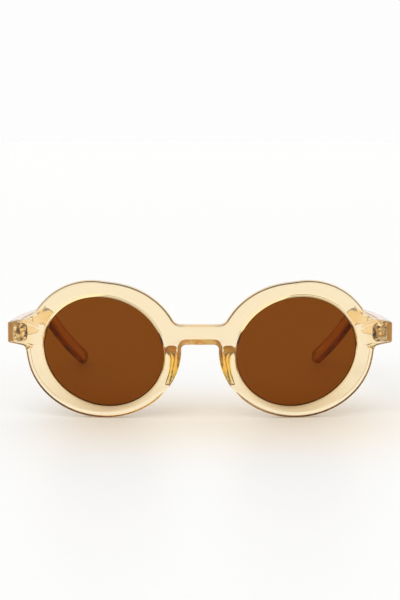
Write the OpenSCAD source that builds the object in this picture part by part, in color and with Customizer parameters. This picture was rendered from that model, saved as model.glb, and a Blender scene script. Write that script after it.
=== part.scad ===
// Round sunglasses with folding temples, standing open on a table.
// The front faces -Y and the temples run to +Y. +X is the wearer's left. Sizes are in millimetres.

/* [Lenses] */
// Long axis of the lens that shows in the rim
lens_w = 46; // [38:0.1:56]
// Short axis of the lens that shows in the rim
lens_h = 40.7; // [34:0.1:52]
// How far the long axis rises towards the temple, in degrees
lens_tilt = 21; // [0:1:30]
// Thickness of the lens
lens_t = 1.8; // [1.2:0.1:2.2]
// How far the lens edge reaches into the rim
groove_d = 0.9; // [0.5:0.1:1.5]
// Play between a lens and the walls of its groove
lens_play = 0.06; // [0.02:0.01:0.1]

/* [Front] */
// Width of the rim beside the lens, beyond half its long axis
rim_side = 6.2; // [4:0.1:9]
// Width of the rim above the lens
rim_top = 6; // [4:0.1:8]
// Width of the rim below the lens
rim_bottom = 4.7; // [3:0.1:8]
// Gap between the two rims where the nose goes
nose_gap = 14; // [11:0.1:20]
// Thickness of the front
front_t = 4; // [3.6:0.1:5]
// Wall of the rim in front of the lens groove
lip_t = 1.1; // [0.7:0.1:1.4]
// Radius of the bow of the front, seen from above
bow_r = 420; // [300:10:600]

/* [Bridge] */
// Height of the top edge of the bridge above the table
bridge_top = 35.5; // [30:0.1:40]
// Height of the bridge itself
bridge_h = 7.6; // [4.5:0.1:9]
// Radius of the hollow where the bridge runs into the rims above
bridge_blend = 3.5; // [2:0.1:5]
// Radius of the corners of the nose gap and of the hollows below the end pieces
corner_r = 1.8; // [0.8:0.1:2.5]

/* [End pieces] */
// Length that an end piece stands out from its rim
end_len = 7.1; // [6:0.1:10]
// Height of an end piece at its end
end_h = 7.6; // [6.4:0.1:10]
// Height of the middle of an end piece above the table
end_z = 31.9; // [28:0.1:36]
// Thickness of an end piece at its end
end_t = 4.1; // [3.6:0.1:5]
// Slope of the upper and lower edges of an end piece
end_flare = 11; // [0:1:16]
// Radius of the corners at the end
end_corner = 0.8; // [0.3:0.1:1.5]
// Radius of the hollow above an end piece
shoulder_blend = 8; // [4:0.5:10]

/* [Nose pads] */
// Height of a nose pad
pad_h = 14; // [10:0.5:18]
// Height of the top of a nose pad above the table
pad_top = 26.3; // [24:0.1:28]
// How far a nose pad stands out behind the front
pad_out = 5.5; // [3.5:0.1:7]
// Width of the root of a nose pad
pad_w = 5; // [4:0.1:6]
// How far the back of a nose pad leans away from the nose
pad_splay = 1.7; // [0.5:0.1:2.5]
// Glue line between a nose pad and the front
glue_t = 0.03; // [0.01:0.01:0.05]

/* [Temples] */
// Thickness of a temple at the hinge
temple_t = 3.6; // [3.2:0.1:4.5]
// Thickness of a temple at its tip
tip_t = 3.2; // [2:0.1:4]
// Length of the straight part of a temple
straight_len = 74; // [60:1:95]
// Height of a temple where it bends down
bend_h = 6.4; // [5:0.1:8]
// Height of a temple at its tip
tip_h = 6.2; // [5:0.1:8]
// Slope of the straight part, in degrees below level
temple_slope = 2.4; // [1:0.1:4]
// Slope of the ear part, in degrees below level
ear_slope = 30; // [24:1:45]
// Radius of the bend between the two, along the middle of the temple
bend_r = 22; // [12:1:40]
// How far the tip is drawn in from the outer face at the hinge
draw_in = 17.4; // [6:0.2:18]
// How late a temple turns in towards the head: 1 is evenly all along, more is later
turn_in = 2.5; // [1.5:0.1:3.5]
// Length of the flat seat for the hinge on the inner face
seat_len = 13; // [12:0.5:20]
// Gap between a temple and its end piece when open
butt_gap = 0.06; // [0.03:0.01:0.15]

/* [Hinges] */
// Diameter of the hinge barrel
barrel_d = 2.8; // [2.4:0.1:3.4]
// Height of the hinge barrel
barrel_h = 4.8; // [4:0.1:5.6]
// Gap between the knuckles
knuckle_gap = 0.05; // [0.03:0.01:0.1]
// Gap between the barrel and the temple
barrel_gap = 0.2; // [0.15:0.05:0.5]
// Gap between the barrel and the end piece
neck_len = 0.8; // [0.6:0.1:1.2]
// Diameter of the hinge screw
screw_d = 1.2; // [1:0.1:1.4]
// Radial play of the temple's knuckle on the screw
screw_play = 0.04; // [0.02:0.01:0.08]
// Radial play of the screw in the knuckles of the front
thread_play = 0.01; // [0.01:0.01:0.03]
// Diameter of the screw head
head_d = 2.2; // [1.8:0.1:2.6]
// Height of the screw head
head_h = 0.5; // [0.4:0.1:0.8]
// Thickness of the hinge plates
plate_t = 0.8; // [0.6:0.1:1]
// Length of the plate in the temple
plate_len = 9; // [7:0.5:11]
// Height of the plate in the end piece
front_plate_h = 6.2; // [4.4:0.1:6.4]
// Diameter of the pegs that anchor the plates
peg_d = 1; // [0.8:0.1:1.4]
// Length of the pegs beyond the plate
peg_len = 1.4; // [0.8:0.1:1.6]
// Play of plates and pegs in their pockets
pocket_play = 0.02; // [0.01:0.01:0.05]

/* [Hidden] */
$fn = 48;
// How far joined shapes lap into each other, and how far cutting shapes run past what they cut
lap = 0.01;
past = 5;
// Rims and lenses, for the +X side
rim_rx = lens_w/2 + rim_side;
rim_rz = (lens_h + rim_top + rim_bottom)/2;
rim_z = rim_rz;
lens_x = nose_gap/2 + rim_rx;
lens_z = rim_bottom + lens_h/2;
// End pieces: their outer end, and the flat back that the hinge sits on
end_x = lens_x + rim_rx + end_len;
end_root = lens_x + 0.8*rim_rx;
end_back = bow_r - sqrt(bow_r^2 - end_x^2) + end_t;
// The seat's width, the run of its inner slope, and how far it reaches above and below the end
seat_w = temple_t + barrel_gap + barrel_d + 1.2;
seat_slope = 4;
seat_rim = 1.6;
// The fuller brow of a rim towards its end piece: its radius, and its middle from the rim's middle
brow_r = 0.982*rim_rz;
brow_x = 0.147*rim_rx;
brow_z = 0.041*rim_rz;
// Hinge axis
hinge_x = end_x - temple_t - barrel_gap - barrel_d/2;
hinge_y = end_back + neck_len + barrel_d/2;
hinge_z = end_z - head_h/2;
knuckle_h = (barrel_h - 2*knuckle_gap)/3;
// Hinge plates and their pegs: in the end piece across from the axis, in the temple along from it
front_plate = [-barrel_d/2 - 0.8, barrel_d/2 + 2];
front_pegs = [front_plate[0] + peg_d, front_plate[1] - peg_d];
front_peg_z = front_plate_h/2 - 1.2*peg_d;
temple_pegs = [plate_len/2, plate_len - peg_d];
temple_plate_h = barrel_h - 0.4;
// Slot of the screw head
slot_w = 0.35;
slot_d = 0.25;
// Temple: lengths along its middle line, from the end piece to the middle of the round tip
temple_y0 = end_back + butt_gap;
seat_end = temple_y0 + seat_len;
tip_r = tip_h/2;
bend_len = bend_r*(ear_slope - temple_slope)*PI/180;
bend_y = temple_y0 + straight_len*cos(temple_slope);
bend_z = end_z - straight_len*sin(temple_slope);
ear_y = bend_y + bend_r*(sin(ear_slope) - sin(temple_slope));
ear_z = bend_z - bend_r*(cos(temple_slope) - cos(ear_slope));
ear_len = (ear_z - tip_r)/sin(ear_slope);
middle_len = straight_len + bend_len + ear_len;
temple_steps = 40;
// How much longer the temple is drawn before its butt is cut square
lead = 1;
tip_y = ear_y + ear_len*cos(ear_slope);
depth = tip_y + tip_r;
tall = 2*rim_rz + 2*past;

// Colours of the pieces
plastic = [0.93, 0.8, 0.56, 0.55];
plastic_deep = [0.8, 0.6, 0.3, 0.75];
lens_brown = [0.42, 0.22, 0.08, 0.85];
metal = [0.76, 0.74, 0.7];

// Where the nasal edge of the +X rim lies at a height
function nasal_x(z) = lens_x - rim_rx*sqrt(1 - ((z - rim_z)/rim_rz)^2);

// The temple's middle line: slope and place at a length s along it
function slope_at(s) =
    s < straight_len ? temple_slope
    : s < straight_len + bend_len ? temple_slope + (s - straight_len)/bend_r*180/PI
    : ear_slope;
function middle_at(s) =
    let (a = slope_at(s), e = s - straight_len - bend_len)
    s < straight_len ? [temple_y0 + s*cos(a), end_z - s*sin(a)]
    : e < 0 ? [bend_y + bend_r*(sin(a) - sin(temple_slope)), bend_z - bend_r*(cos(temple_slope) - cos(a))]
    : [ear_y + e*cos(a), ear_z - e*sin(a)];
function height_at(s) =
    s < straight_len ? end_h + (bend_h - end_h)*s/straight_len
    : bend_h + (tip_h - bend_h)*(s - straight_len)/(middle_len - straight_len);
function edge_at(s, side) =
    let (a = slope_at(s), h = side*height_at(s)/2)
    middle_at(s) + [h*sin(a), h*cos(a)];
// How far a face of the temple is drawn in at a depth y
function drawn_in(y, most) = y < seat_end ? 0 : most*((y - seat_end)/(depth - seat_end))^turn_in;

// Two copies, for the wearer's left and right
module both_sides() {
    children();
    mirror([1, 0, 0]) children();
}
// One side's piece: +X is the wearer's left
module on_side(right) {
    mirror([right ? 1 : 0, 0, 0]) children();
}
// Moves the model so that its origin is below the middle of its box
module placed() {
    translate([0, -depth/2, 0]) children();
}
// A flat shape drawn as seen from the front, given depth from y0 to y1
module in_front_view(y0, y1) {
    translate([0, y1, 0]) rotate([90, 0, 0]) linear_extrude(y1 - y0) children();
}
// All that lies behind the bowed surface at a depth below the front face
module behind_bow(d) {
    translate([0, bow_r, -past]) cylinder(r = bow_r - d, h = tall, $fn = 360);
}
// A bowed sheet from depth d0 to depth d1 below the front face
module bowed_sheet(d0, d1) {
    intersection() {
        difference() {
            behind_bow(d0);
            behind_bow(d1);
        }
        in_front_view(-past, end_back + past) children();
    }
}
// Fills hollows of a flat shape up to radius r
module fill_hollows(r) {
    offset(r = -r) offset(delta = r) children();
}
module ellipse(rx, rz) {
    scale([1, rz/rx]) circle(r = rx, $fn = 120);
}
// Opening of the +X rim, made larger all round by grow
module lens_outline(grow) {
    translate([lens_x, lens_z]) rotate(lens_tilt) ellipse(lens_w/2 + grow, lens_h/2 + grow);
}

// Front view of the +X end piece, from inside the rim to its end
module end_outline() {
    rise = (end_x - end_root)*tan(end_flare);
    offset(r = end_corner) offset(delta = -end_corner) polygon([
        [end_root, end_z - end_h/2 - rise],
        [end_x, end_z - end_h/2],
        [end_x, end_z + end_h/2],
        [end_root, end_z + end_h/2 + rise]
    ]);
}
// Front view of the +X rim with the brow that leads to its end piece
module rim_outline() {
    hull() {
        translate([lens_x, rim_z]) ellipse(rim_rx, rim_rz);
        translate([lens_x + brow_x, rim_z + brow_z]) circle(r = brow_r, $fn = 120);
    }
}
// Front view of the whole front, with sharp hollows and no lens openings
module sharp_outline() {
    both_sides() {
        rim_outline();
        end_outline();
    }
    translate([-lens_x, bridge_top - bridge_h]) square([2*lens_x, bridge_h]);
}
// The part of the front view from z0 up, out to reach from the middle
module upper_part(z0, reach) {
    intersection() {
        children();
        translate([-reach, z0]) square([2*reach, tall]);
    }
}
// The same with its hollows rounded: most above the end pieces, then above the bridge
module front_outline() {
    middle = bridge_top - bridge_h/2;
    difference() {
        fill_hollows(corner_r) sharp_outline();
        translate([-end_x - past, middle]) square([2*end_x + 2*past, tall]);
    }
    upper_part(middle, lens_x) fill_hollows(bridge_blend) sharp_outline();
    difference() {
        upper_part(middle, end_x + past) fill_hollows(shoulder_blend) sharp_outline();
        translate([-lens_x, 0]) square([2*lens_x, tall]);
    }
}

// Sets a piece of the +X hinge in its place, with the middle of the barrel at the origin before
module at_hinge() {
    translate([hinge_x, hinge_y, hinge_z]) children();
}
// Plate and pegs of the front leaf, made larger all round by play
module front_anchor(play) {
    seat = end_back - hinge_y;
    translate([front_plate[0] - play, seat - plate_t - play, -front_plate_h/2 - play])
        cube([front_plate[1] - front_plate[0] + 2*play, plate_t + play, front_plate_h + 2*play]);
    for (x = front_pegs, z = [-front_peg_z, front_peg_z])
        translate([x, seat - plate_t + lap, z]) rotate([90, 0, 0])
            cylinder(d = peg_d + 2*play, h = peg_len + play + lap, $fn = 32);
}
// Plate and pegs of the temple leaf, made larger all round by play
module temple_anchor(play) {
    face = end_x - temple_t - hinge_x;
    translate([face, -barrel_d/2 - play, -temple_plate_h/2 - play])
        cube([plate_t + play, plate_len + barrel_d/2 + 2*play, temple_plate_h + 2*play]);
    for (y = temple_pegs)
        translate([face + plate_t - lap, y, 0]) rotate([0, 90, 0])
            cylinder(d = peg_d + 2*play, h = peg_len + play + lap, $fn = 32);
}

// Flat seat for the +X hinge behind the bowed front, as high as the end piece
module hinge_seat() {
    intersection() {
        behind_bow(0);
        translate([0, 0, end_z - end_h/2 - seat_rim]) linear_extrude(end_h + 2*seat_rim) polygon([
            [end_x - seat_w - seat_slope, 0],
            [end_x + past, 0],
            [end_x + past, end_back],
            [end_x - seat_w, end_back]
        ]);
    }
}
// One bowed piece of clear amber plastic: two rims, the bridge and the end pieces, planed flat behind
// the end pieces where the hinges sit
module front_frame() {
    color(plastic) placed() difference() {
        intersection() {
            in_front_view(-past, end_back) front_outline();
            union() {
                difference() {
                    behind_bow(0);
                    behind_bow(front_t);
                }
                both_sides() hinge_seat();
            }
        }
        both_sides() {
            in_front_view(-past, end_back + past) lens_outline(0);
            bowed_sheet(lip_t, lip_t + lens_t + 2*lens_play) lens_outline(groove_d + lens_play);
            at_hinge() front_anchor(pocket_play);
        }
    }
}

// A brown sheet lens, bowed like the front, held in the groove of its rim
module lens(right) {
    color(lens_brown) placed() on_side(right)
        bowed_sheet(lip_t + lens_play, lip_t + lens_play + lens_t) lens_outline(groove_d);
}

// A clear pad on the back of the nasal rim, leaning away from the nose towards its back
module nose_pad(right) {
    root_r = pad_w/2;
    heel_r = 0.7*root_r;
    // Rim left free on the nose side
    edge = 0.4;
    // Heights of the pad's top, middle and foot, and how much of pad_out each stands out
    levels = [[pad_top - root_r, 0.8], [pad_top - 0.55*pad_h, 1], [pad_top - pad_h + root_r, 0.45]];
    color(plastic_deep) placed() on_side(right) intersection() {
        behind_bow(front_t + glue_t);
        hull() for (l = levels) {
            x = nasal_x(l[0]) + edge + root_r;
            translate([x, front_t - 1, l[0]]) rotate([-90, 0, 0]) cylinder(r = root_r, h = 1, $fn = 32);
            translate([x + pad_splay, front_t + pad_out*l[1] - heel_r, l[0]]) sphere(r = heel_r, $fn = 32);
        }
    }
}

// Side view of a temple, with Y to the right and Z up
module temple_side() {
    steps = [for (i = [0 : temple_steps]) -lead + i*(middle_len + lead)/temple_steps];
    tip = middle_at(middle_len);
    polygon(concat(
        [for (s = steps) edge_at(s, 1)],
        [for (a = [80 : -10 : -80]) tip + tip_r*[cos(a - ear_slope), sin(a - ear_slope)]],
        [for (i = [temple_steps : -1 : 0]) edge_at(steps[i], -1)]
    ));
}
// Top view of the +X temple: both faces are drawn in, the outer one more, so that it thins to its tip
module temple_plan() {
    ys = [for (i = [0 : temple_steps]) temple_y0 + i*(depth + past - temple_y0)/temple_steps];
    inner_in = draw_in - (temple_t - tip_t);
    polygon(concat(
        [for (y = ys) [end_x - drawn_in(y, draw_in), y]],
        [for (i = [temple_steps : -1 : 0]) [end_x - temple_t - drawn_in(ys[i], inner_in), ys[i]]]
    ));
}
// A clear arm from the end piece to the ear, bent down over the ear and in towards the head
module temple(right) {
    color(plastic) placed() on_side(right) difference() {
        intersection() {
            rotate([90, 0, 90]) linear_extrude(end_x + past) temple_side();
            translate([0, 0, -past]) linear_extrude(tall) temple_plan();
        }
        at_hinge() temple_anchor(pocket_play);
    }
}

// Front half of the hinge: a plate sunk in the end piece, with the upper and lower knuckles
module hinge_front_leaf(right) {
    seat = end_back - hinge_y;
    color(metal) placed() on_side(right) at_hinge() {
        front_anchor(0);
        for (z = [-barrel_h/2, barrel_h/2 - knuckle_h])
            translate([0, 0, z]) difference() {
                union() {
                    cylinder(d = barrel_d, h = knuckle_h);
                    translate([-barrel_d/2, seat, 0]) cube([barrel_d, -seat, knuckle_h]);
                }
                translate([0, 0, -past]) cylinder(r = screw_d/2 + thread_play, h = barrel_h + 2*past);
            }
    }
}
// Temple half of the hinge: a plate sunk in the temple, with the middle knuckle
module hinge_temple_leaf(right) {
    face = end_x - temple_t - hinge_x;
    color(metal) placed() on_side(right) at_hinge() {
        temple_anchor(0);
        translate([0, 0, -knuckle_h/2]) difference() {
            union() {
                cylinder(d = barrel_d, h = knuckle_h);
                translate([0, -barrel_d/2, 0]) cube([face + lap, barrel_d, knuckle_h]);
            }
            translate([0, 0, -past]) cylinder(r = screw_d/2 + screw_play, h = barrel_h + 2*past);
        }
    }
}
// Slotted screw that the temple turns on
module hinge_screw(right) {
    color(metal) placed() on_side(right) at_hinge() difference() {
        union() {
            translate([0, 0, -barrel_h/2]) cylinder(d = screw_d, h = barrel_h + lap);
            translate([0, 0, barrel_h/2]) cylinder(d = head_d, h = head_h);
        }
        translate([-head_d, -slot_w/2, barrel_h/2 + head_h - slot_d]) cube([2*head_d, slot_w, head_h]);
    }
}

front_frame();
lens(false);  // lens_left
lens(true);  // lens_right
nose_pad(false);  // nose_pad_left
nose_pad(true);  // nose_pad_right
temple(false);  // temple_left
temple(true);  // temple_right
hinge_front_leaf(false);  // hinge_front_leaf_left
hinge_front_leaf(true);  // hinge_front_leaf_right
hinge_temple_leaf(false);  // hinge_temple_leaf_left
hinge_temple_leaf(true);  // hinge_temple_leaf_right
hinge_screw(false);  // hinge_screw_left
hinge_screw(true);  // hinge_screw_right
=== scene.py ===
from math import atan2, ceil, copysign, cos, pi, radians, sin, sqrt, tan, tau

import bmesh
import bpy
from bpy.props import FloatProperty, FloatVectorProperty, IntProperty, PointerProperty
from mathutils import Matrix, Vector


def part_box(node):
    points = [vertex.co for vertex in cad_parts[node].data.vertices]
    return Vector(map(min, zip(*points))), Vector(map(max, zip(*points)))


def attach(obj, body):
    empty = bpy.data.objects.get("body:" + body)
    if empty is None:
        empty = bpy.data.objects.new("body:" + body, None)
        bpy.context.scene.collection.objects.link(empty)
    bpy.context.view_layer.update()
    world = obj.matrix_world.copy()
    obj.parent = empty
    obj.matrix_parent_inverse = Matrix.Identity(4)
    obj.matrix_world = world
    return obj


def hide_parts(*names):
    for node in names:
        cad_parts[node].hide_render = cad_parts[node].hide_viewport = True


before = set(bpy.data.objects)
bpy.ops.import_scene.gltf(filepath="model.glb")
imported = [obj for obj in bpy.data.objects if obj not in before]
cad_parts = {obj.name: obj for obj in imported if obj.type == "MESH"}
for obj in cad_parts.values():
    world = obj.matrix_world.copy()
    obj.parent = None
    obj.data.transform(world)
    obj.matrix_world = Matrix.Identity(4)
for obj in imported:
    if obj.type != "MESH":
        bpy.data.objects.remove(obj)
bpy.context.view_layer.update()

bl_info = {
    "name": "Round sunglasses",
    "version": (1, 0, 0),
    "blender": (4, 5, 0),
    "location": "View3D > Sidebar > Sunglasses",
    "description": "Clear amber sunglasses with brown lenses, on a white table",
    "category": "Add Mesh",
}

MM = 0.001
# A quarter turn in eight steps
QUARTER = [radians(11.25 * k) for k in range(9)]
WHITE = (1, 1, 1, 1)

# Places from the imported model
FRONT_LOW, FRONT_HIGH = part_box("front_frame")
LENS_LOW, LENS_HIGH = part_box("lens_left")
TEMPLE_LOW, TEMPLE_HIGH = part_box("temple_left")
LENS_MIDDLE = Vector(((LENS_LOW.x + LENS_HIGH.x) / 2, (LENS_LOW.z + LENS_HIGH.z) / 2))
# How far the front's foremost line lies before the origin, in mm
FOREMOST = -FRONT_LOW.y / MM

# Points nearer to each other than this are one
WELD = 0.002 * MM
# Edges that turn by more degrees than this stay sharp
SHARP, PAD_SHARP = 32, 50
# The lens bends light less than its plastic would, which gives the faint reflections of a coating
PLASTIC_IOR, COATED_LENS_IOR = 1.49, 1.2


def linear(code):
    """A colour written as sRGB hex, as the linear values that Blender uses."""
    parts = [int(code[i:i + 2], 16) / 255 for i in (0, 2, 4)]
    return tuple(p / 12.92 if p <= 0.04045 else ((p + 0.055) / 1.055) ** 2.4 for p in parts)


def a_length(name, description, size_mm):
    """A length that a user can change, written in millimetres."""
    return FloatProperty(name=name, description=description, default=size_mm * MM, min=0.0,
                         precision=5, unit="LENGTH")


def an_angle(name, description, degrees):
    """An angle that a user can change, written in degrees."""
    return FloatProperty(name=name, description=description, default=radians(degrees),
                         subtype="ANGLE")


def a_number(name, description, value):
    """A plain number that a user can change."""
    return FloatProperty(name=name, description=description, default=value)


def a_colour(name, description, value):
    """A colour that a user can change, as linear values."""
    return FloatVectorProperty(name=name, description=description, size=3, subtype="COLOR",
                               default=value, min=0, max=1)


class FrontSizes(bpy.types.PropertyGroup):
    bow_radius: a_length("Bow radius", "Radius of the front's bow, seen from above", 420)
    thickness: a_length("Thickness", "Thickness of the rims", 4)
    edge: a_length("Edge", "Rounding of the outer edges on the front face", 0.6)
    back_edge: a_length("Back edge", "Rounding of the outer edges on the back", 2.27)
    end_edge: a_length("End edge", "Rounding of the edges that meet the temples and pads", 0.2)
    nose_bevel: a_length("Nose bevel", "Height of the bevel round the nose opening", 1.8)
    chamfer: a_length("Chamfer", "Chamfer round the lens on the front face", 0.8)
    corner: a_length("Corner", "Rounding between the chamfer and the front face", 0.5)
    groove: a_length("Groove", "Depth of the lens groove", 0.96)
    lip: a_length("Lip", "Wall in front of the lens groove", 1.1)
    groove_width: a_length("Groove width", "Width of the lens groove", 1.92)
    step: a_length("Step", "Longest step along the outline", 1.2)
    seat_drop: a_length("Seat drop", "How far the hinge plates stand proud of the plastic", 0.05)


class LensSizes(bpy.types.PropertyGroup):
    long_axis: a_length("Long axis", "Long axis of the lens that shows in the rim", 46)
    short_axis: a_length("Short axis", "Short axis of the lens that shows in the rim", 40.7)
    tilt: an_angle("Tilt", "How far the long axis rises towards the temple", 21)
    reach: a_length("Reach", "How far the lens's edge reaches into the rim", 0.9)
    thickness: a_length("Thickness", "Thickness of a lens", 1.8)
    depth: a_length("Depth", "Depth of the lens's face below the front face", 1.16)
    # The dark line at the edge is painted shade, where the lens goes into its groove
    line: a_length("Line", "Width of the dark line at the edge", 0.4)
    points: IntProperty(name="Points", description="Points round a lens", default=160, min=24)


class PadSizes(bpy.types.PropertyGroup):
    top: a_length("Top", "Height of the top of a pad above the table", 27.3)
    height: a_length("Height", "Height of a pad", 15)
    out: a_length("Out", "How far a pad stands out behind the rim", 5.4)
    width: a_length("Width", "Width of a pad's root at its top", 6.0)
    edge: a_length("Edge", "Rim left free on the nose side of a pad", 0.25)
    set_in: a_length("Set in", "How much more of the rim is left free at the top", 1.75)
    lean: a_length("Lean", "How far a pad leans away from the nose", 1.9)
    arch: a_length("Arch", "How far a pad's top drops to its sides", 0.9)


class TempleSizes(bpy.types.PropertyGroup):
    thickness: a_length("Thickness", "Thickness at the hinge", 3.6)
    tip_thickness: a_length("Tip thickness", "Thickness at the tip", 3.2)
    height: a_length("Height", "Height at the hinge", 7.6)
    bend_height: a_length("Bend height", "Height at the bend", 6.4)
    tip_height: a_length("Tip height", "Height at the tip", 6.2)
    straight: a_length("Straight", "Length of the straight part", 74)
    bend_radius: a_length("Bend radius", "Radius of the bend", 22)
    slope: an_angle("Slope", "Slope of the straight part", 2.4)
    ear_slope: an_angle("Ear slope", "Slope of the ear part", 30)
    draw_in: a_length("Draw in", "How far the tip is drawn in", 17.4)
    turn_in: a_number("Turn in", "How late the arm turns in: 1 is evenly, more is later", 2.5)
    seat: a_length("Seat", "Length of the flat hinge seat", 13)
    edge: a_length("Edge", "Rounding of the long edges", 0.5)
    ear_edge: a_length("Ear edge", "Rounding of the long edges of the ear part", 1.3)


class Finishes(bpy.types.PropertyGroup):
    plastic: a_colour("Plastic", "Light that a metre of the plastic lets through",
                      (0.968, 0.69, 0.051))
    plastic_density: a_number("Plastic density", "Strength of the front's tint, per metre", 158)
    pad: a_colour("Pads", "Light that a metre of the nose pads lets through", (0.981, 0.84, 0.05))
    pad_density: a_number("Pad density", "Strength of the nose pads' tint, per metre", 420)
    # The ear part's tint is painted shade: a deeper gold for the long path that the eye sees
    # through it
    ear: a_colour("Ear part", "Tint of the ear part's surface", (0.91, 0.78, 0.34))
    lens: a_colour("Lens", "Light that a metre of the lens lets through", (0.7245, 0.49, 0.01))
    lens_density: a_number("Lens density", "Strength of the lens's tint, per metre", 3100)
    steel: a_colour("Steel", "Colour of the hinges", linear("FBF8F0"))
    table: a_colour("Table", "Colour of the table", linear("FDFDFC"))


class StageSizes(bpy.types.PropertyGroup):
    camera_distance: a_length("Camera distance", "From the camera to the foremost line", 540)
    camera_height: a_length("Camera height", "Height of the camera above the table", 106.2)
    camera_pitch: an_angle("Camera pitch", "How far the camera looks down", 6.483)
    focal_length: FloatProperty(name="Focal length", default=87.63, unit="CAMERA",
                                description="Focal length for a frame 36 mm high")
    table_size: a_length("Table size", "Side of the table", 40000)
    front_level: a_number("Front level", "Light from the camera's side, where 1 is white", 0.6)
    table_level: a_number("Table level", "Light on the table from all round", 0.765)
    seen_level: a_number("Seen level", "White of the room that the camera sees", 0.985)
    lamp_power: a_number("Lamp", "Strength of the lamp on the left", 1.15)
    lamp_lean: an_angle("Lamp lean", "How far the lamp leans to the left", 48)
    lamp_turn: an_angle("Lamp turn", "How far the lamp is turned to the camera's side", 35)
    lamp_angle: an_angle("Lamp angle", "How wide the lamp is, which softens shadows", 85)


class SunglassesSettings(bpy.types.PropertyGroup):
    front: PointerProperty(type=FrontSizes)
    lens: PointerProperty(type=LensSizes)
    pad: PointerProperty(type=PadSizes)
    temple: PointerProperty(type=TempleSizes)
    finish: PointerProperty(type=Finishes)
    stage: PointerProperty(type=StageSizes)


def add_node(tree, kind, inputs=None, **settings):
    """A new node with its settings, and its inputs set or linked to a socket or a node."""
    new = tree.nodes.new("ShaderNode" + kind)
    for name, value in settings.items():
        setattr(new, name, value)
    for name, value in (inputs or {}).items():
        if isinstance(value, bpy.types.Node):
            value = value.outputs[0]
        if isinstance(value, bpy.types.NodeSocket):
            tree.links.new(value, new.inputs[name])
        else:
            new.inputs[name].default_value = value
    return new


def new_material(name):
    """An empty material and its node tree."""
    material = bpy.data.materials.new(name)
    material.use_nodes = True
    material.node_tree.nodes.clear()
    return material, material.node_tree


def within(tree, *limits):
    """A mask that is 1 where each value is on the near side, as (value, near, far) in mm."""
    mask = 1.0
    for value, near, far in limits:
        share = add_node(tree, "MapRange", {
            "Value": value, "From Min": near * MM, "From Max": far * MM,
            "To Min": 1.0, "To Max": 0.0}, interpolation_type="SMOOTHSTEP")
        mask = add_node(tree, "Math", {0: share, 1: mask}, operation="MULTIPLY")
    return mask


# Sizes of the patterns in the finishes, from one mark to the next
SMEARS, FLOW, STREAKS, SCRATCHES, KNURLS = 6 * MM, 9 * MM, 2.2 * MM, 0.25 * MM, 1.2 * MM
# Painted amber glow on a temple's butt, painted shade line round a lens, and the darkest painted
# shade of the knurling's facets
BUTT_GLOW_AMBER, GROOVE_SHADE, SHADED_FACET = "F5C355", (0.1, 0.05, 0.02, 1), (0.72, 0.66, 0.5, 1)


def clear_plastic(name, tint, density, ior, temple=None, edge=None, matt_glow=None):
    """Polished clear plastic, dyed through: the eye gets a tint from how thick it is, and gloss
    with faint wipe marks."""
    material, tree = new_material(name)
    place = add_node(tree, "TexCoord").outputs["Object"]
    # Wipe marks change the gloss a little
    smears = add_node(tree, "TexNoise", {"Vector": place, "Scale": 1 / SMEARS, "Detail": 4.0})
    gloss = add_node(tree, "MapRange", {
        "Value": smears, "From Min": 0.35, "From Max": 0.75, "To Min": 0.0, "To Max": 0.03})
    colour, clear = WHITE, 1.0
    # Optional painted light: amber glow and deeper gold along a temple, amber glow on half-matt
    # zones, and a shade line round a lens
    if temple is not None:
        colour, clear = temple_ends(tree, place, *temple)
    if matt_glow is not None:
        colour, clear, gloss = matt_painted_glow(tree, place, gloss, *matt_glow)
    if edge is not None:
        colour = painted_groove_shade(tree, place, *edge)
    # Flow of the moulding, long and very low
    flow = add_node(tree, "TexNoise", {"Vector": place, "Scale": 1 / FLOW, "Detail": 1.0})
    ripple = add_node(tree, "Bump", {"Height": flow, "Strength": 0.02, "Distance": 0.2 * MM})
    shader = add_node(tree, "BsdfPrincipled", {
        "Base Color": colour, "Roughness": gloss, "IOR": ior,
        "Transmission Weight": clear, "Normal": ripple})
    dye = add_node(tree, "VolumeAbsorption", {"Color": (*tint, 1), "Density": density})
    add_node(tree, "OutputMaterial", {"Surface": shader, "Volume": dye})
    return material


def temple_ends(tree, place, start, end, straight, ear):
    """Colour and clearness along a temple, from its butt on the front to its tip, with a painted
    amber glow at the butt and painted deeper gold on the ear part.
    """
    along = add_node(tree, "SeparateXYZ", {"Vector": place}).outputs["Y"]
    # The butt is matt, with a painted amber glow for the light carried through the clear end piece
    clear = add_node(tree, "MapRange", {
        "Value": along, "From Min": start + 0.1 * MM, "From Max": start + 0.2 * MM, "To Min": 0.1})
    colour = add_node(tree, "Mix", {0: clear, 6: (*linear(BUTT_GLOW_AMBER), 1), 7: WHITE},
                      data_type="RGBA").outputs[2]
    # The tip is half matt, and glows where a clear one would look black from behind
    tip = add_node(tree, "MapRange", {
        "Value": along, "From Min": end - 1.8 * MM, "From Max": end - 0.6 * MM,
        "To Min": 1.0, "To Max": 0.3})
    clear = add_node(tree, "Math", {0: clear, 1: tip}, operation="MULTIPLY")
    # Painted shade: the ear part gets a deeper gold than the rest of the arm, for the long path
    # that the eye sees through it
    ear_shade = add_node(tree, "MapRange", {
        "Value": along, "From Min": start + 0.5 * straight, "From Max": start + straight})
    colour = add_node(tree, "Mix", {0: ear_shade, 6: colour, 7: (*ear, 1)}, data_type="RGBA").outputs[2]
    return colour, clear


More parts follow.
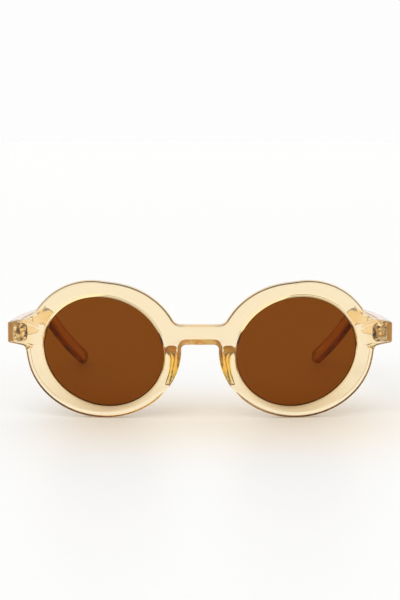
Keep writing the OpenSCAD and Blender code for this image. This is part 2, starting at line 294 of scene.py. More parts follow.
def matt_painted_glow(tree, place, gloss, front, back, side, low, high, deep, light):
    """Colour, clearness and gloss, with half-matt streaks of painted amber glow within limits in
    mm.
    """
    bare = add_node(tree, "VectorMath", {0: place}, operation="ABSOLUTE")
    x, y, z = add_node(tree, "SeparateXYZ", {"Vector": bare}).outputs
    zone = within(tree, (y, front, front + 0.1), (y, back, back - 0.05), (x, side, side + 0.2),
                  (z, low, low - 2), (z, high, high + 0.5))
    # Painted amber glow in streaks, from deep to light amber
    streaks = add_node(tree, "TexNoise", {"Vector": place, "Scale": 1 / STREAKS, "Detail": 1.0})
    share = add_node(tree, "MapRange", {"Value": streaks, "From Min": 0.36, "From Max": 0.64})
    glow_amber = add_node(tree, "Mix", {0: share, 6: (*linear(deep), 1), 7: (*linear(light), 1)},
                     data_type="RGBA").outputs[2]
    colour = add_node(tree, "Mix", {0: zone, 6: WHITE, 7: glow_amber}, data_type="RGBA").outputs[2]
    clear = add_node(tree, "MapRange", {"Value": zone, "To Min": 1.0, "To Max": 0.35})
    gloss = add_node(tree, "Math", {0: zone, 1: 0.3, 2: gloss}, operation="MULTIPLY_ADD")
    return colour, clear, gloss


def painted_groove_shade(tree, place, tilt, half, line):
    """Colour with a painted shade line where a lens goes into its groove."""
    middle = (LENS_MIDDLE.x, 0, LENS_MIDDLE.y)
    off = add_node(tree, "VectorMath", {0: place}, operation="ABSOLUTE")
    off = add_node(tree, "VectorRotate", {"Vector": off, "Center": middle, "Angle": tilt},
                   rotation_type="Y_AXIS")
    off = add_node(tree, "VectorMath", {0: off, 1: middle}, operation="SUBTRACT")
    off = add_node(tree, "VectorMath", {0: off, 1: half}, operation="DIVIDE")
    far = add_node(tree, "VectorMath", {0: off}, operation="LENGTH").outputs["Value"]
    dark = add_node(tree, "MapRange", {"Value": far, "From Min": 1 - line, "From Max": 1.0})
    return add_node(tree, "Mix", {0: dark, 6: WHITE, 7: GROOVE_SHADE}, data_type="RGBA").outputs[2]


def tumbled_steel(name, colour, knurled=False):
    """Bright nickel silver: the eye gets a soft mirror with fine scratches that cross every way."""
    material, tree = new_material(name)
    place = add_node(tree, "TexCoord").outputs["Object"]
    # Scratches are finer than a picture shows, so they are drawn further apart
    scratches = add_node(tree, "TexNoise", {"Vector": place, "Scale": 1 / SCRATCHES, "Detail": 3.0})
    gloss = add_node(tree, "MapRange", {"Value": scratches, "To Min": 0.12, "To Max": 0.34})
    normal = add_node(tree, "Bump", {"Height": scratches, "Strength": 0.25, "Distance": 0.03 * MM})
    shade = add_node(tree, "MixRGB", {
        "Fac": scratches, "Color1": (*[0.8 * c for c in colour], 1), "Color2": (*colour, 1)})
    if knurled:
        # Small facets that each catch the light their own way: each tilts the normal, and each gets
        # a painted brightness from painted shade to painted glint
        facets = add_node(tree, "TexVoronoi",
                          {"Vector": place, "Scale": 1 / KNURLS}).outputs["Color"]
        lean = add_node(tree, "VectorMath", {0: facets, 1: (0.5, 0.5, 0.5)}, operation="SUBTRACT")
        lean = add_node(tree, "VectorMath", {0: lean, 1: (1.3, 1.3, 1.3), 2: normal},
                        operation="MULTIPLY_ADD")
        normal = add_node(tree, "VectorMath", {0: lean}, operation="NORMALIZE")
        facet_glint = add_node(tree, "SeparateXYZ", {"Vector": facets}).outputs["Y"]
        shade = add_node(tree, "MixRGB", {"Fac": facet_glint, "Color1": SHADED_FACET, "Color2": WHITE})
    shader = add_node(tree, "BsdfPrincipled", {
        "Base Color": shade, "Metallic": 1.0, "Roughness": gloss, "Normal": normal})
    add_node(tree, "OutputMaterial", {"Surface": shader})
    return material


def select_only(piece):
    """Makes a piece the active one, with nothing else selected."""
    bpy.ops.object.select_all(action="DESELECT")
    piece.select_set(True)
    bpy.context.view_layer.objects.active = piece


def edit_welded(threshold=WELD):
    """Goes to edit mode with the whole active piece selected and its doubled points joined."""
    bpy.ops.object.mode_set(mode="EDIT")
    bpy.ops.mesh.select_all(action="SELECT")
    bpy.ops.mesh.remove_doubles(threshold=threshold)


def lofted(name, rings):
    """A new piece: a circle that gets the shape of the first ring, extruded through the others."""
    bpy.ops.object.select_all(action="DESELECT")
    bpy.ops.mesh.primitive_circle_add(vertices=len(rings[0]), radius=MM)
    piece = bpy.context.object
    piece.name = piece.data.name = name
    for vertex, point in zip(piece.data.vertices, rings[0]):
        vertex.co = point
    bpy.ops.object.mode_set(mode="EDIT")
    bpy.ops.mesh.select_all(action="SELECT")
    last = range(len(rings[0]))
    for points in rings[1:]:
        bpy.ops.mesh.extrude_edges_move()
        mesh = bmesh.from_edit_mesh(piece.data)
        mesh.verts.ensure_lookup_table()
        following = []
        for index, point in zip(last, points):
            vertex = mesh.verts[index]
            ends = [e.other_vert(vertex) for e in vertex.link_edges]
            new = next(end for end in ends if end.select)
            new.co = point
            following.append(new.index)
        mesh.verts.index_update()
        last = following
    bmesh.update_edit_mesh(piece.data)
    bpy.ops.object.mode_set(mode="OBJECT")
    return piece


def lofted_pair(name, rings):
    """A piece with closed ends for the wearer's left, and its mirror image for the right."""
    left = lofted(f"{name}-left", rings)
    edit_welded()
    bpy.ops.mesh.select_all(action="DESELECT")
    bpy.ops.mesh.select_mode(type="EDGE")
    bpy.ops.mesh.select_non_manifold(use_wire=False, use_multi_face=False,
                                     use_non_contiguous=False, use_verts=False)
    bpy.ops.mesh.fill_holes(sides=0)
    bpy.ops.mesh.select_mode(type="VERT")
    bpy.ops.object.mode_set(mode="OBJECT")
    select_only(left)
    bpy.ops.object.duplicate()
    right = bpy.context.object
    right.name = right.data.name = f"{name}-right"
    bpy.ops.transform.resize(value=(-1, 1, 1), center_override=(0, 0, 0))
    bpy.ops.object.transform_apply(location=True, rotation=True, scale=True)
    return {"left": left, "right": right}


def finish_surface(piece, sharp=SHARP):
    """Welds a piece, turns its faces outwards and smooths all but its sharp edges."""
    select_only(piece)
    edit_welded()
    bpy.ops.mesh.normals_make_consistent(inside=False)
    bpy.ops.object.mode_set(mode="OBJECT")
    bpy.ops.object.shade_smooth_by_angle(angle=radians(sharp))
    uses = {}
    for face in piece.data.polygons:
        for key in face.edge_keys:
            uses[key] = uses.get(key, 0) + 1
    open_edges = [count for count in uses.values() if count != 2]
    if open_edges:
        raise RuntimeError(f"{piece.name} isn't closed: {len(open_edges)} open edges")


def put_on(piece, node, body, material):
    """Gives a piece its material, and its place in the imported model."""
    piece.data.materials.clear()
    piece.data.materials.append(material)
    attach(piece, body)
    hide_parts(node)


def smooth_step(value, low, high):
    """0 below low, 1 above high, and a soft S between them."""
    t = min(max((value - low) / (high - low), 0.0), 1.0)
    return t * t * (3 - 2 * t)


def bow(x, radius):
    """How far the bowed front lies behind its foremost line at a place x."""
    return radius - sqrt(radius * radius - x * x)


def beside_lens(lens, turn, by):
    """A place in the front view, at a distance from the edge of the +X lens that shows."""
    c, s = cos(turn), sin(turn)
    half_long, half_short = lens.long_axis / 2, lens.short_axis / 2
    outward = Vector((half_short * c, half_long * s)).normalized()
    place = Vector((half_long * c, half_short * s)) + by * outward
    place.rotate(Matrix.Rotation(lens.tilt, 2))
    return LENS_MIDDLE + place


# A vertex this near to the bowed front face lies on it, and one this near to x = 0 in the middle
ON_FACE, IN_MIDDLE = 0.02 * MM, 0.01 * MM


def front_loop(radius):
    """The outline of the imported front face, on +X from the bridge's top to its underside."""
    mesh = bmesh.new()
    mesh.from_mesh(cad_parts["front_frame"].data)
    bmesh.ops.remove_doubles(mesh, verts=mesh.verts, dist=0.001 * MM)
    on_face = [all(abs(v.co.y - FRONT_LOW.y - bow(v.co.x, radius)) < ON_FACE for v in f.verts)
               for f in mesh.faces]
    mesh.faces.index_update()
    links = {}
    for edge in mesh.edges:
        if sum(on_face[f.index] for f in edge.link_faces) == 1:
            a, b = edge.verts
            links.setdefault(a, []).append(b)
            links.setdefault(b, []).append(a)
    first = max(links, key=lambda v: v.co.x)
    loop, previous, vertex = [], None, first
    while vertex is not first or previous is None:
        loop.append(Vector((vertex.co.x, vertex.co.z)))
        one, other = links[vertex][:2]
        previous, vertex = vertex, one if one is not previous else other
    mesh.free()
    # From the end piece both ways to the middle of the bridge
    half = [p for p in loop if p.x > IN_MIDDLE]
    cut = next(i for i, p in enumerate(loop) if p.x <= IN_MIDDLE)
    there, back = loop[:cut], list(reversed(half[cut:]))
    if there[-1].y < back[-1].y:
        there, back = back, there
    outline = [Vector((0, there[-1].y))] + there[::-1] + back + [Vector((0, back[-1].y))]
    return [p for i, p in enumerate(outline) if i == 0 or (p - outline[i - 1]).length > 0.02 * MM]


def stepped(points, longest):
    """The same line with its long stretches divided."""
    out = [points[0]]
    for a, b in zip(points, points[1:]):
        count = max(1, ceil((b - a).length / longest))
        out += [a.lerp(b, (i + 1) / count) for i in range(count)]
    return out


def eased(points, middle, reach, rounds):
    """The same line with the corner round a place made a wide curve."""
    for _ in range(rounds):
        shares = [0.5 - 0.5 * smooth_step((p - middle).length, 0.5 * reach, reach) for p in points]
        inner = [b.lerp((a + c) / 2, share) for a, b, c, share in
                 zip(points, points[1:], points[2:], shares[1:])]
        points = points[:1] + inner + points[-1:]
    return points


# The hollow beneath an end piece: its place, how far round it is eased, and in how many rounds
HOLLOW, HOLLOW_REACH, HOLLOW_ROUNDS = Vector((60.4 * MM, 24.4 * MM)), 8 * MM, 60
# Where the rim's back rises to the hinge seat, from and to
SEAT_X, SEAT_Z = (62.6 * MM, 64.9 * MM), (25.2 * MM, 26.8 * MM)
# Where the outer edges get sharp towards the end piece, from and to
END_X, END_Z = (61 * MM, 66 * MM), (24 * MM, 28 * MM)
# Heights over which the back edge beside the nose gets sharp, and then a bevel
NOSE_SHARP, NOSE_BEVEL = (6 * MM, 13 * MM), (15 * MM, 24 * MM)
# The bevel's depth for each mm of height, its share where the wall doesn't face down, and how far
# the wall faces down, from and to
BEVEL_SLOPE, WALL_BEVEL, FACES_DOWN = 1.0, 0.75, (0.5, 0.98)
# Flat strip kept beside each rounding, and the rounding of the lens opening's back edge
FLAT_STRIP, OPENING_EDGE = 0.12 * MM, 0.5 * MM
# Steps from the lens to the outer edge on each face, steps across the middle plane, and the
# rounds that even out the steps round the lens
FACE_STEPS, SEAM_STEPS, EVEN_ROUNDS = 5, 7, 60
# Half-matt bevel round the nose opening, with a painted amber glow for the light carried up through
# the bridge
NOSE_GLOW = (FOREMOST - 2.05, FOREMOST - 3.95, 12, 17, 29.5, "F29A00", "FFE47A")


class Rim:
    """Sections of the +X rim at each step of the outline, from the lens groove over the front face
    and the outer wall to the back and the groove again."""

    def __init__(self, size, lens, outline):
        self.size, self.lens, self.outline = size, lens, outline
        self.count = len(outline)
        self.lowest = min(range(self.count), key=lambda i: outline[i].y)
        self.out = self.outward()
        self.turns = self.lens_turns()
        middle = (size.groove, size.lip + size.groove_width / 2, False)
        corner = [(size.chamfer + size.corner * (tan(pi / 8) - sin(q)),
                   size.corner * (1 - cos(q)), False)
                  for q in [radians(45 * (1 - k / 4)) for k in range(5)]]
        # The lens side of a section: distance from the lens, depth, and whether from the back
        self.lens_front = [middle, (0, size.lip, False), (0, size.chamfer, False), *corner]
        self.lens_back = [
            (OPENING_EDGE + FLAT_STRIP, 0, True), (OPENING_EDGE, 0, True),
            (0.3 * OPENING_EDGE, 0.3 * OPENING_EDGE, True), (0, OPENING_EDGE, True),
            (0, size.lip + size.groove_width, False), middle]

    def outward(self):
        """The direction away from the lens at each step."""
        ends = [self.outline[0], *self.outline, self.outline[-1]]
        along = [b - a for a, b in zip(ends, ends[2:])]
        out = [Vector((-a.y, a.x)).normalized() for a in along]
        out[0], out[-1] = Vector((0, 1)), Vector((0, -1))
        return out

    def lens_turns(self):
        """The turn round the lens at each step and then across the seam, evened out."""
        level = Matrix.Rotation(-self.lens.tilt, 2)
        seen = [level @ (p - LENS_MIDDLE) for p in self.outline]
        turns = [atan2(p.y / self.lens.short_axis, p.x / self.lens.long_axis) for p in seen]
        for i in range(1, self.count):
            while turns[i] > turns[i - 1] + pi:
                turns[i] -= tau
        last, gap = turns[-1], turns[0] - tau - turns[-1]
        turns += [last + gap * (j + 1) / (SEAM_STEPS + 1) for j in range(SEAM_STEPS)]
        for _ in range(EVEN_ROUNDS):
            before = [turns[-1] + tau] + turns[:-1]
            after = turns[1:] + [turns[0] - tau]
            turns = [(a + c) / 4 + b / 2 for a, b, c in zip(before, turns, after)]
        return turns

    def lens_edge(self, i, by):
        return beside_lens(self.lens, self.turns[i], by)

    def wall(self, i, inset):
        return self.outline[i] - self.out[i] * inset

    def back_depth(self, x, z):
        """How far the back lies behind the front face: the rim's thickness, or the hinge seat."""
        size = self.size
        seat = FRONT_HIGH.y - FRONT_LOW.y - size.seat_drop - bow(x, size.bow_radius)
        blend = smooth_step(x, *SEAT_X) * smooth_step(z, *SEAT_Z)
        return size.thickness + blend * (seat - size.thickness)

    def at(self, flat, depth, from_back=False):
        """A place in the front view at a depth behind the front face, or before the back."""
        y = self.back_depth(flat.x, flat.y) - depth if from_back else depth
        return Vector((flat.x, FRONT_LOW.y + bow(flat.x, self.size.bow_radius) + y, flat.y))

    def at_nose(self, i, heights):
        """0 to 1 up the nose side of the outline between two heights."""
        return smooth_step(self.outline[i].y, *heights) if i > self.lowest else 0.0

    def edge(self, i, most):
        """The rounding of an outer edge, which gets small towards the end piece."""
        near = smooth_step(self.outline[i].x, *END_X) * smooth_step(self.outline[i].y, *END_Z)
        return most + (self.size.end_edge - most) * near

    def back_edge(self, i):
        """The outer back edge, as inset and depth: rounded, or a bevel at the nose."""
        size = self.size
        share = self.at_nose(i, NOSE_BEVEL)
        share *= WALL_BEVEL + (1 - WALL_BEVEL) * smooth_step(-self.out[i].y, *FACES_DOWN)
        bevel = size.end_edge + (size.nose_bevel - size.end_edge) * share
        if bevel > size.end_edge:
            return [Vector((bevel * k / 8, BEVEL_SLOPE * bevel * (1 - k / 8))) for k in range(9)]
        r = self.edge(i, size.back_edge)
        r += (size.end_edge - r) * self.at_nose(i, NOSE_SHARP)
        return [Vector((r * (1 - cos(q)), r * (1 - sin(q)))) for q in QUARTER]

    def lens_side(self, i, rows):
        return [self.at(self.lens_edge(i, by), depth, back) for by, depth, back in rows]

    def between(self, i, near_by, far, from_back):
        """Points from beside the lens towards a far place, without its ends."""
        near = self.lens_edge(i, near_by)
        return [self.at(near.lerp(far, k / FACE_STEPS), 0, from_back) for k in range(1, FACE_STEPS)]

    def section(self, i):
        """The section at a step of the outline."""
        r, back_edge = self.edge(i, self.size.edge), self.back_edge(i)
        front_end = self.wall(i, r + FLAT_STRIP)
        back_end = self.wall(i, back_edge[-1].x + FLAT_STRIP)
        wall_end = self.back_depth(*self.outline[i]) - back_edge[0].y
        points = self.lens_side(i, self.lens_front)
        points += self.between(i, self.lens_front[-1][0], front_end, False)
        points.append(self.at(front_end, 0))
        points += [self.at(self.wall(i, r * (1 - sin(q))), r * (1 - cos(q))) for q in QUARTER]
        points += [self.at(self.outline[i], r + t * (wall_end - r)) for t in (0.06, 0.5, 0.94)]
        points += [self.at(self.wall(i, b.x), b.y, True) for b in back_edge]
        points.append(self.at(back_end, 0, True))
        points += reversed(self.between(i, self.lens_back[0][0], back_end, True))
        return points + self.lens_side(i, self.lens_back)

    def across(self, first, last, j):
        """The section at a step of the seam, from the bridge's underside straight to its top."""
        i = self.count + j
        ends = [low.lerp(high, (j + 1) / (SEAM_STEPS + 1)) for low, high in zip(last, first)]
        front, back = len(self.lens_front), len(self.lens_back)
        middle = ends[front + FACE_STEPS - 1:len(ends) - back - FACE_STEPS + 1]
        points = self.lens_side(i, self.lens_front)
        points += self.between(i, self.lens_front[-1][0], middle[0].xz, False)
        points += middle
        points += reversed(self.between(i, self.lens_back[0][0], middle[-1].xz, True))
        return points + self.lens_side(i, self.lens_back)

    def rings(self):
        """Rings of points round the lens, one for each row of the sections."""
        sections = [self.section(i) for i in range(self.count)]
        first, last = sections[0], sections[-1]
        sections += [self.across(first, last, j) for j in range(SEAM_STEPS)]
        return [list(row) for row in zip(*sections)]


class SUNGLASSES_OT_front(bpy.types.Operator):
    """Rims, bridge and end pieces: a rim section swept round one lens, then mirrored"""
    bl_idname = "sunglasses.front"
    bl_label = "Front"

    def execute(self, context):
        settings = context.scene.sunglasses
        size, finish = settings.front, settings.finish
        outline = stepped(front_loop(size.bow_radius), size.step)
        outline = eased(outline, HOLLOW, HOLLOW_REACH, HOLLOW_ROUNDS)
        rings = Rim(size, settings.lens, outline).rings()
        piece = lofted("front", rings)
        self.open_middle(piece)
        bpy.ops.object.modifier_add(type="MIRROR")
        mirror = piece.modifiers[-1]
        mirror.merge_threshold = WELD
        bpy.ops.object.modifier_apply(modifier=mirror.name)
        finish_surface(piece)
        plastic = clear_plastic("clear_amber_acetate", finish.plastic, finish.plastic_density,
                                PLASTIC_IOR, matt_glow=NOSE_GLOW)
        put_on(piece, "front_frame", "front", plastic)
        return {"FINISHED"}

    def open_middle(self, piece):
        """Takes away the faces in the middle plane, where the two halves meet."""
        edit_welded(0.0005 * MM)
        bpy.ops.mesh.select_all(action="DESELECT")
        bpy.ops.mesh.select_mode(type="FACE")
        mesh = bmesh.from_edit_mesh(piece.data)
        for face in mesh.faces:
            face.select = all(abs(v.co.x) < 0.001 * MM for v in face.verts)
        bmesh.update_edit_mesh(piece.data)
        bpy.ops.mesh.delete(type="FACE")
        bpy.ops.mesh.select_mode(type="VERT")
        bpy.ops.object.mode_set(mode="OBJECT")


# Rings of a lens, as shares of the way from its middle to its edge
LENS_SHARES = (0.02, 0.1, 0.25, 0.4, 0.55, 0.7, 0.85, 0.95, 0.99, 1.0)


class SUNGLASSES_OT_lenses(bpy.types.Operator):
    """Brown lenses, bowed like the front, with a V-shaped edge that sits in the groove"""
    bl_idname = "sunglasses.lenses"
    bl_label = "Lenses"

    def execute(self, context):
        settings = context.scene.sunglasses
        size, finish, radius = settings.lens, settings.finish, settings.front.bow_radius
        turns = [tau * i / size.points for i in range(size.points)]

        def ring(share, depth, by=0.0):
            flat = [LENS_MIDDLE.lerp(beside_lens(size, t, by), share) for t in turns]
            return [Vector((p.x, FRONT_LOW.y + bow(p.x, radius) + depth, p.y)) for p in flat]

        face, back = size.depth, size.depth + size.thickness
        rings = [ring(share, face) for share in LENS_SHARES]
        rings.append(ring(1.0, (face + back) / 2, size.reach))
        rings += [ring(share, back) for share in reversed(LENS_SHARES)]
        half = (size.long_axis / 2, 1.0, size.short_axis / 2)
        # The edge gets a painted shade line, for the shade where the lens goes into its groove
        edge = (size.tilt, half, 2 * size.line / size.long_axis)
        brown = clear_plastic("brown_lens_plastic", finish.lens, finish.lens_density,
                              COATED_LENS_IOR, edge=edge)
        for side, piece in lofted_pair("lens", rings).items():
            finish_surface(piece)
            put_on(piece, f"lens_{side}", "front", brown)
        return {"FINISHED"}


# A pad from foot to top: height, how far out and how wide, each as a share of the most
PAD_PROFILE = (
    (0.0, 0.03, 0.24), (0.03, 0.12, 0.3), (0.1, 0.32, 0.36), (0.2, 0.58, 0.42), (0.3, 0.8, 0.47),
    (0.42, 0.95, 0.53), (0.55, 0.98, 0.59), (0.66, 0.92, 0.64), (0.74, 0.82, 0.72),
    (0.8, 0.68, 0.84), (0.86, 0.5, 0.95), (0.93, 0.26, 1.0), (1.0, 0.03, 1.0))
# How far a pad's root lies in the rim, how far its lens side draws in, and its largest rounding
PAD_SINK, PAD_DRAW, PAD_ROUND = 0.1 * MM, 0.5 * MM, 1.1 * MM
# Steps across a pad's root and back
PAD_STEPS = 8


class SUNGLASSES_OT_nose_pads(bpy.types.Operator):
    """Clear pads behind the nose side of the rims, lofted from foot to top"""
    bl_idname = "sunglasses.nose_pads"
    bl_label = "Nose pads"

    def execute(self, context):
        settings = context.scene.sunglasses
        size, finish = settings.pad, settings.finish
        foot = size.top - size.height
        outline = front_loop(settings.front.bow_radius)
        lowest = min(range(len(outline)), key=lambda i: outline[i].y)
        rings = [self.section(settings, outline[lowest:], foot + high * size.height, out, wide)
                 for high, out, wide in PAD_PROFILE]
        # The arched top is half matt, with a painted golden glow
        top = size.top / MM
        matt_glow = (FOREMOST, FOREMOST - 12, 20, top - 1.7, top, "FFB400", "FFE650")
        plastic = clear_plastic("clear_amber_pad", finish.pad, finish.pad_density, PLASTIC_IOR,
                                matt_glow=matt_glow)
        for side, piece in lofted_pair("nose-pad", rings).items():
            finish_surface(piece, PAD_SHARP)
            put_on(piece, f"nose_pad_{side}", "front", plastic)
        return {"FINISHED"}

    def section(self, settings, nose_side, z, out, wide):
        """A section of the pad: flat on the rim, with a rounded back that leans outwards."""
        size, front = settings.pad, settings.front
        below, above = next((a, b) for a, b in zip(nose_side, nose_side[1:]) if a.y <= z <= b.y)
        inner = below.lerp(above, (z - below.y) / (above.y - below.y)).x + size.edge
        outer = inner + size.width * wide
        inner += size.set_in * smooth_step(z, size.top - 0.5 * size.height, size.top)
        depth = size.out * out
        root = FRONT_LOW.y + front.thickness + bow((inner + outer) / 2, front.bow_radius) - PAD_SINK
        near, far = inner + size.lean * out, outer - PAD_DRAW * out
        r = min(PAD_ROUND, 0.8 * depth, 0.45 * (far - near))
        back, flat = root + depth, far - near - 2 * r
        turn = [radians(15 * k) for k in range(7)]
        points = [(inner, root)]
        points += [(near + r * (1 - cos(q)), back - r * (1 - sin(q))) for q in turn]
        points += [(near + r + flat * k / PAD_STEPS, back) for k in range(1, PAD_STEPS)]
        points += [(far - r * (1 - sin(q)), back - r * (1 - cos(q))) for q in turn]
        points += [(outer + (inner - outer) * k / PAD_STEPS, root) for k in range(PAD_STEPS)]
        # Towards the top, the sections are arched
        drop = size.arch * smooth_step(z, size.top - 0.2 * size.height, size.top)
        return [Vector((x, y, z - drop * (2 * (x - inner) / (outer - inner) - 1) ** 4))
                for x, y in points]


# Rounding of a temple's butt, how far its tip thins, and the least half thickness of the tip
BUTT_EDGE, TIP_THINNING, LEAST_HALF = 0.25 * MM, 0.55 * MM, 0.05 * MM
# Lengths over which the seat runs out, and the sections turn from upright to square with the arm
SEAT_RUN_OUT, UPRIGHT_END = 4 * MM, 12 * MM


class SUNGLASSES_OT_temples(bpy.types.Operator):
    """Clear arms with a rounded section, bent down over the ear and drawn in to the tip"""
    bl_idname = "sunglasses.temples"
    bl_label = "Temples"

    def execute(self, context):
        settings = context.scene.sunglasses
        size, finish = settings.temple, settings.finish
        rings = self.rings(size, settings.front.seat_drop)
        ends = (TEMPLE_LOW.y, TEMPLE_HIGH.y, size.straight, finish.ear)
        plastic = clear_plastic("clear_amber_temple", finish.plastic, finish.plastic_density,
                                PLASTIC_IOR, temple=ends)
        for side, piece in lofted_pair("temple", rings).items():
            finish_surface(piece)
            put_on(piece, f"temple_{side}", f"{side}_arm", plastic)
        return {"FINISHED"}

    def corners(self, edge, half):
        """A section with rounded corners, as distances from its side faces and from its middle."""
        arc = [radians(15 * k) for k in range(7)]
        points = []
        for side_u, side_v in ((1, 1), (-1, 1), (-1, -1), (1, -1)):
            for q in arc if side_u == side_v else reversed(arc):
                points.append((side_u * max(edge * (1 - cos(q)), 1e-7),
                               side_v * (half - edge * (1 - sin(q)))))
        return points

    def rings(self, size, seat_drop):
        """Rings of points along the arm, from its butt on the front to its tip."""
        start, end = TEMPLE_LOW.y, TEMPLE_HIGH.y
        seat_end = start + size.seat
        tip_r = size.tip_height / 2
        middle_z = TEMPLE_HIGH.z - size.height / 2
        radius = size.bend_radius
        bend = radius * (size.ear_slope - size.slope)
        bend_y = start + size.straight * cos(size.slope)
        bend_z = middle_z - size.straight * sin(size.slope)
        ear_y = bend_y + radius * (sin(size.ear_slope) - sin(size.slope))
        ear_z = bend_z - radius * (cos(size.slope) - cos(size.ear_slope))
        ear = (ear_z - tip_r) / sin(size.ear_slope)
        whole = size.straight + bend + ear

        def middle(s):
            if s < size.straight:
                return size.slope, start + s * cos(size.slope), middle_z - s * sin(size.slope)
            if s < size.straight + bend:
                a = size.slope + (s - size.straight) / radius
                return (a, bend_y + radius * (sin(a) - sin(size.slope)),
                        bend_z - radius * (cos(size.slope) - cos(a)))
            e = s - size.straight - bend
            return size.ear_slope, ear_y + e * cos(size.ear_slope), ear_z - e * sin(size.ear_slope)

        def height(s):
            if s < size.straight:
                return size.height + (size.bend_height - size.height) * s / size.straight
            share = min(1, (s - size.straight) / (whole - size.straight))
            return size.bend_height + (size.tip_height - size.bend_height) * share

        def rounding(s):
            share = smooth_step(s, 0.4 * size.straight, size.straight)
            return size.edge + (size.ear_edge - size.edge) * share

        def drawn(y, most):
            if y < seat_end:
                return 0.0
            return most * ((y - seat_end) / (end - seat_end)) ** size.turn_in

        def ring(s, high, thin, edge, upright=1.0):
            slope, y0, z0 = middle(s)
            slope *= upright
            points = []
            for u, v in self.corners(edge, high / 2):
                y, z = y0 + v * sin(slope), z0 + v * cos(slope)
                outer = TEMPLE_HIGH.x - drawn(y, size.draw_in)
                inner = TEMPLE_HIGH.x - size.thickness - drawn(
                    y, size.draw_in - size.thickness + size.tip_thickness)
                inner += seat_drop * (1 - smooth_step(y, seat_end, seat_end + SEAT_RUN_OUT))
                half = max((outer - inner) / 2 - thin - abs(u), LEAST_HALF)
                points.append(Vector(((outer + inner) / 2 + copysign(half, u), y, z)))
            return points

        rings = []
        for k in range(5):
            q = radians(22.5 * k)
            inset = BUTT_EDGE * (1 - sin(q))
            rings.append(ring(BUTT_EDGE * (1 - cos(q)), height(0) - 2 * inset, inset, size.edge, 0))
        stops = [0.5 * MM, 2 * MM, 5 * MM] + [size.straight * f / 22 for f in range(3, 23)]
        stops += [size.straight + bend * f / 10 for f in range(1, 11)]
        stops += [whole - ear + ear * f / 14 for f in range(1, 15)]
        rings += [ring(s, height(s), 0.0, rounding(s), smooth_step(s, 0, UPRIGHT_END))
                  for s in stops]
        for k in range(1, 9):
            q = radians(11 * k)
            thin = TIP_THINNING * smooth_step(k, 3, 8)
            rings.append(ring(whole + tip_r * sin(q), 2 * tip_r * cos(q), thin,
                              min(size.ear_edge, 0.9 * tip_r * cos(q))))
        return rings


# How much taller a front leaf's plate gets at each end, and the rounding of its inner corners
PLATE_GROWTH, PLATE_ROUND = 0.5 * MM, 2.2 * MM
# Broken edge of a hinge piece, and how near a vertex lies to a side that it is on
HINGE_EDGE, ON_SIDE = 0.12 * MM, 0.01 * MM


class SUNGLASSES_OT_hinges(bpy.types.Operator):
    """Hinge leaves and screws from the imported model, with broken edges and their finish"""
    bl_idname = "sunglasses.hinges"
    bl_label = "Hinges"

    def execute(self, context):
        steel = context.scene.sunglasses.finish.steel
        leaf = tumbled_steel("tumbled_nickel_silver", steel)
        anchor = tumbled_steel("knurled_nickel_silver", steel, knurled=True)
        screw = tumbled_steel("bright_screw_steel", [0.8 * c for c in steel])
        for name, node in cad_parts.items():
            if not name.startswith("hinge_"):
                continue
            select_only(node)
            bpy.ops.object.duplicate()
            piece = context.object
            piece.name = piece.data.name = name.replace("_", "-")
            self.plain_faces()
            if "front" in name:
                self.round_plate(piece)
            self.soften(piece)
            side = name.rsplit("_", 1)[1]
            body = f"{side}_arm" if "temple" in name else "front"
            metal = screw if "screw" in name else anchor if "front" in name else leaf
            put_on(piece, name, body, metal)
        return {"FINISHED"}

    def plain_faces(self):
        """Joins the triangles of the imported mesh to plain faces."""
        bpy.ops.object.transform_apply(location=True, rotation=True, scale=True)
        edit_welded(0.001 * MM)
        bpy.ops.mesh.tris_convert_to_quads()
        bpy.ops.mesh.dissolve_limited(angle_limit=radians(0.5))
        bpy.ops.object.mode_set(mode="OBJECT")

    def round_plate(self, piece):
        """Draws out the plate in the end piece, and rounds its inner corners."""
        bpy.ops.object.mode_set(mode="EDIT")
        bpy.ops.mesh.select_all(action="DESELECT")
        bpy.ops.mesh.select_mode(type="EDGE")
        mesh = bmesh.from_edit_mesh(piece.data)
        inner = min(abs(v.co.x) for v in mesh.verts)
        low, high = min(v.co.z for v in mesh.verts), max(v.co.z for v in mesh.verts)
        for vertex in mesh.verts:
            if vertex.co.z > high - ON_SIDE:
                vertex.co.z += PLATE_GROWTH
            elif vertex.co.z < low + ON_SIDE:
                vertex.co.z -= PLATE_GROWTH
        for edge in mesh.edges:
            a, b = (v.co for v in edge.verts)
            runs_back = abs((a - b).y) > 0.9 * (a - b).length
            edge.select_set(runs_back and max(abs(a.x), abs(b.x)) < inner + ON_SIDE)
        bmesh.update_edit_mesh(piece.data)
        bpy.ops.mesh.bevel(offset=PLATE_ROUND, segments=6, affect="EDGES")
        bpy.ops.mesh.select_mode(type="VERT")
        bpy.ops.object.mode_set(mode="OBJECT")

    def soften(self, piece):
        """Breaks the edges of a piece, as tumbling does."""
        bevel = piece.modifiers.new("Bevel", "BEVEL")
        bevel.width = HINGE_EDGE
        bevel.segments = 2
        bevel.limit_method = "ANGLE"
        bevel.angle_limit = radians(40)
        bpy.ops.object.modifier_apply(modifier=bevel.name)
        finish_surface(piece)


# Bounces that light needs to run through the clear arms
BOUNCES = 48
# Painted warm light on the table near the front, as if lit through the plastic: its colour, how far
# before and behind, and from where to where it fades on the left and on the right, in mm
PAINTED_WARM_LIGHT, WARM_LIGHT_DEPTH, WARM_LIGHT_LEFT, WARM_LIGHT_RIGHT = (1, 0.9, 0.76, 1), (0, 95), (-30, -75), (40, 110)
# Height of the camera's frame, and its nearest visible distance
SENSOR_MM, CLIP_START = 36, 0.01


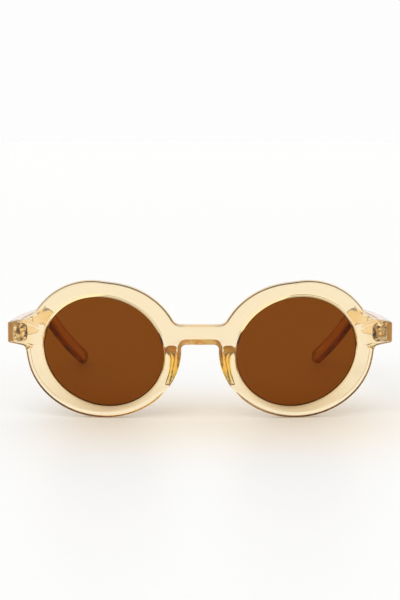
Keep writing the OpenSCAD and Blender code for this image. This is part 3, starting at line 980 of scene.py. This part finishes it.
class SUNGLASSES_OT_stage(bpy.types.Operator):
    """White table, white room that is dimmer on the camera's side, one soft lamp and the camera"""
    bl_idname = "sunglasses.stage"
    bl_label = "Stage"

    def execute(self, context):
        scene = context.scene
        size = scene.sunglasses.stage
        scene.view_settings.view_transform = "Standard"
        scene.cycles.max_bounces = scene.cycles.transmission_bounces = BOUNCES
        bpy.ops.object.select_all(action="DESELECT")
        bpy.ops.mesh.primitive_plane_add(size=size.table_size)
        table = context.object
        table.name = "table"
        table.data.materials.append(self.white_table(scene.sunglasses.finish.table))
        self.room(scene, size)
        bpy.ops.object.light_add(type="SUN", location=(0, 0, 1),
                                 rotation=(0, -size.lamp_lean, size.lamp_turn))
        lamp = context.object
        lamp.name = "soft_lamp"
        lamp.data.angle = size.lamp_angle
        lamp.data.energy = size.lamp_power
        place = (0, FRONT_LOW.y - size.camera_distance, size.camera_height)
        bpy.ops.object.camera_add(location=place, rotation=(pi / 2 - size.camera_pitch, 0, 0))
        camera = context.object
        camera.name = "camera"
        camera.data.sensor_fit = "VERTICAL"
        camera.data.sensor_height = SENSOR_MM
        camera.data.lens = size.focal_length
        camera.data.clip_start = CLIP_START
        scene.camera = camera
        return {"FINISHED"}

    def white_table(self, colour):
        """A smooth white table, with painted warm light before and behind the front, as if lit
        through the plastic.
        """
        material, tree = new_material("white_table")
        coordinates = add_node(tree, "TexCoord").outputs["Object"]
        x, y, _ = add_node(tree, "SeparateXYZ", {"Vector": coordinates}).outputs
        off = add_node(tree, "Math", {0: y, 1: FRONT_LOW.y}, operation="SUBTRACT")
        off = add_node(tree, "Math", {0: off}, operation="ABSOLUTE")
        # Painted warm light: near the front, the table's colour turns warm where light through the
        # plastic would fall
        warm_light = within(tree, (off, *WARM_LIGHT_DEPTH), (x, *WARM_LIGHT_LEFT), (x, *WARM_LIGHT_RIGHT))
        shade = add_node(tree, "MixRGB", {"Fac": warm_light, "Color1": (*colour, 1), "Color2": PAINTED_WARM_LIGHT})
        shader = add_node(tree, "BsdfPrincipled", {
            "Base Color": shade, "Roughness": 0.4, "Specular IOR Level": 0.1})
        add_node(tree, "OutputMaterial", {"Surface": shader})
        return material

    def room(self, scene, size):
        """White behind the object and above, dimmer towards the camera, which sees white."""
        world = bpy.data.worlds.new("white_room")
        scene.world = world
        world.use_nodes = True
        tree = world.node_tree
        tree.nodes.clear()
        place = add_node(tree, "TexCoord").outputs["Generated"]
        behind = add_node(tree, "SeparateXYZ", {"Vector": place}).outputs["Y"]
        level = add_node(tree, "MapRange", {
            "Value": behind, "From Min": 0.0, "From Max": 0.5,
            "To Min": size.front_level, "To Max": 1.0}, interpolation_type="SMOOTHSTEP")
        rays = add_node(tree, "LightPath").outputs
        sharp = add_node(tree, "Math", {0: rays["Is Glossy Ray"], 1: rays["Is Transmission Ray"]},
                         operation="MAXIMUM")
        level = add_node(tree, "Mix", {0: sharp, 2: size.table_level, 3: level})
        seen = add_node(tree, "Mix", {0: rays["Is Camera Ray"], 2: level, 3: size.seen_level})
        light = add_node(tree, "Background", {"Color": WHITE, "Strength": seen})
        add_node(tree, "OutputWorld", {"Surface": light})


class SUNGLASSES_PT_panel(bpy.types.Panel):
    """Buttons for each group of pieces, and their sizes"""
    bl_idname = "SUNGLASSES_PT_panel"
    bl_label = "Sunglasses"
    bl_space_type = "VIEW_3D"
    bl_region_type = "UI"
    bl_category = "Sunglasses"

    def draw(self, context):
        settings = context.scene.sunglasses
        for operator in OPERATORS:
            self.layout.operator(operator.bl_idname)
        for name in settings.__annotations__:
            group = getattr(settings, name)
            box = self.layout.box()
            for size in group.__annotations__:
                box.prop(group, size)


OPERATORS = (SUNGLASSES_OT_stage, SUNGLASSES_OT_front, SUNGLASSES_OT_lenses,
             SUNGLASSES_OT_nose_pads, SUNGLASSES_OT_temples, SUNGLASSES_OT_hinges)
CLASSES = (FrontSizes, LensSizes, PadSizes, TempleSizes, Finishes, StageSizes, SunglassesSettings,
           *OPERATORS, SUNGLASSES_PT_panel)


def register():
    for cls in CLASSES:
        bpy.utils.register_class(cls)
    bpy.types.Scene.sunglasses = PointerProperty(type=SunglassesSettings)


def unregister():
    del bpy.types.Scene.sunglasses
    for cls in reversed(CLASSES):
        bpy.utils.unregister_class(cls)


def main():
    register()
    bpy.ops.sunglasses.stage()
    bpy.ops.sunglasses.front()
    bpy.ops.sunglasses.lenses()
    bpy.ops.sunglasses.nose_pads()
    bpy.ops.sunglasses.temples()
    bpy.ops.sunglasses.hinges()


if __name__ == "__main__":
    main()
